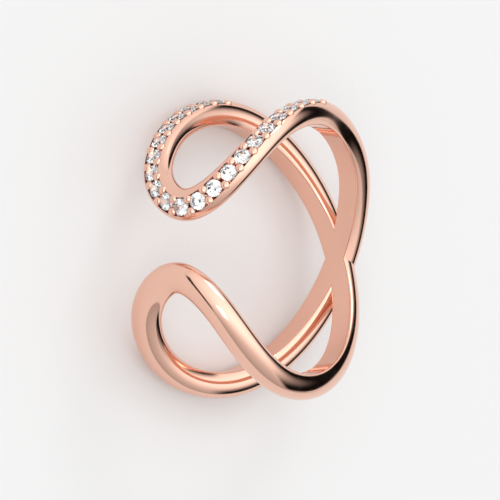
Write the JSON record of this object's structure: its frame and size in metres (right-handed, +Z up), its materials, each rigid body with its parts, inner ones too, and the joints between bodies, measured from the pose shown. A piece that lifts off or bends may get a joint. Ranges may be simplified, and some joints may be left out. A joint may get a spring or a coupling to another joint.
{
  "type": "open infinity finger ring with a row of stones",
  "caption": "Open finger ring shaped as one infinity sign wrapped round the finger, with a row of round stones along one loop.",
  "frame": {"origin": "on the floor under the middle of the ring's box, as the ring lies on its side", "axes": "+Z up, the finger's axis leans ten degrees from it towards +Y; -Y is the open front, +Y the back crossing, -X the stone lobe and +X the plain lobe"},
  "size_m": [0.0208, 0.0202, 0.0117],
  "materials": {
    "rose_gold": "polished rose-gold plate",
    "clear_stone": "clear cut stone"
  },
  "bodies": {
    "root": {"band": "rose_gold", "stone_01": "clear_stone", "stone_02": "clear_stone", "stone_03": "clear_stone", "stone_04": "clear_stone", "stone_05": "clear_stone", "stone_06": "clear_stone", "stone_07": "clear_stone", "stone_08": "clear_stone", "stone_09": "clear_stone", "stone_10": "clear_stone", "stone_11": "clear_stone", "stone_12": "clear_stone", "stone_13": "clear_stone", "stone_14": "clear_stone", "stone_15": "clear_stone", "stone_16": "clear_stone", "stone_17": "clear_stone", "stone_18": "clear_stone", "stone_19": "clear_stone", "stone_20": "clear_stone", "stone_21": "clear_stone"}
  },
  "joints": []
}
